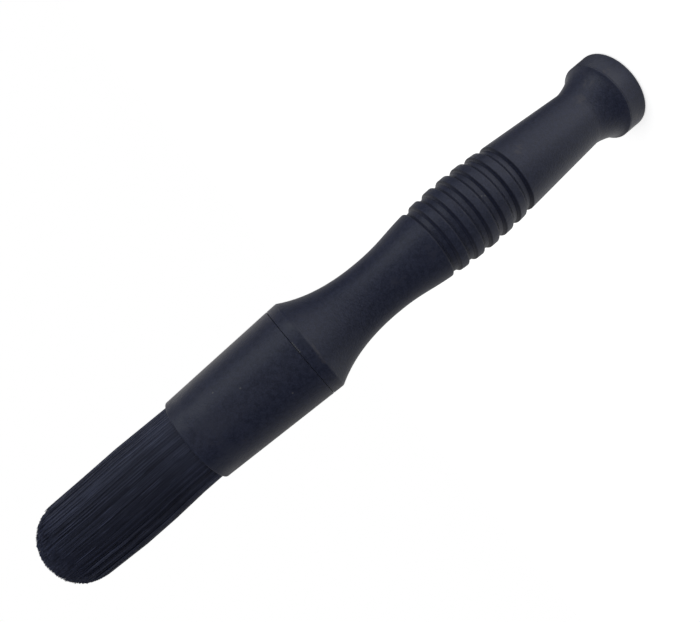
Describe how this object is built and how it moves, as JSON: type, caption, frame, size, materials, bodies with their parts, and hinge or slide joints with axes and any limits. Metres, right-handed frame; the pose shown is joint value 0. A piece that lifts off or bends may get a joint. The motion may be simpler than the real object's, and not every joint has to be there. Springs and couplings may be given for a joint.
{
  "type": "applicator brush",
  "caption": "Round hand brush with a ribbed, waisted plastic handle, tapered ferrule, flat end cap and a domed knot of dark bristles.",
  "frame": {"origin": "centre of the flat face of the end cap, which the brush stands on", "axes": "+Z along the brush's axis from the end cap to the bristle tips; the brush is turned round Z, so X and Y are any two square directions"},
  "size_m": [0.0358, 0.0358, 0.2488],
  "materials": {
    "handle": "satin moulded plastic, near-black navy",
    "end_cap": "satin moulded plastic, near-black navy",
    "ferrule": "satin moulded plastic, near-black navy",
    "resin": "clear amber setting resin",
    "bristles": "black synthetic filament"
  },
  "bodies": {
    "root": {"handle": "handle", "end_cap": "end_cap", "ferrule": "ferrule", "resin_setting": "resin", "bristles": "bristles"}
  },
  "joints": []
}
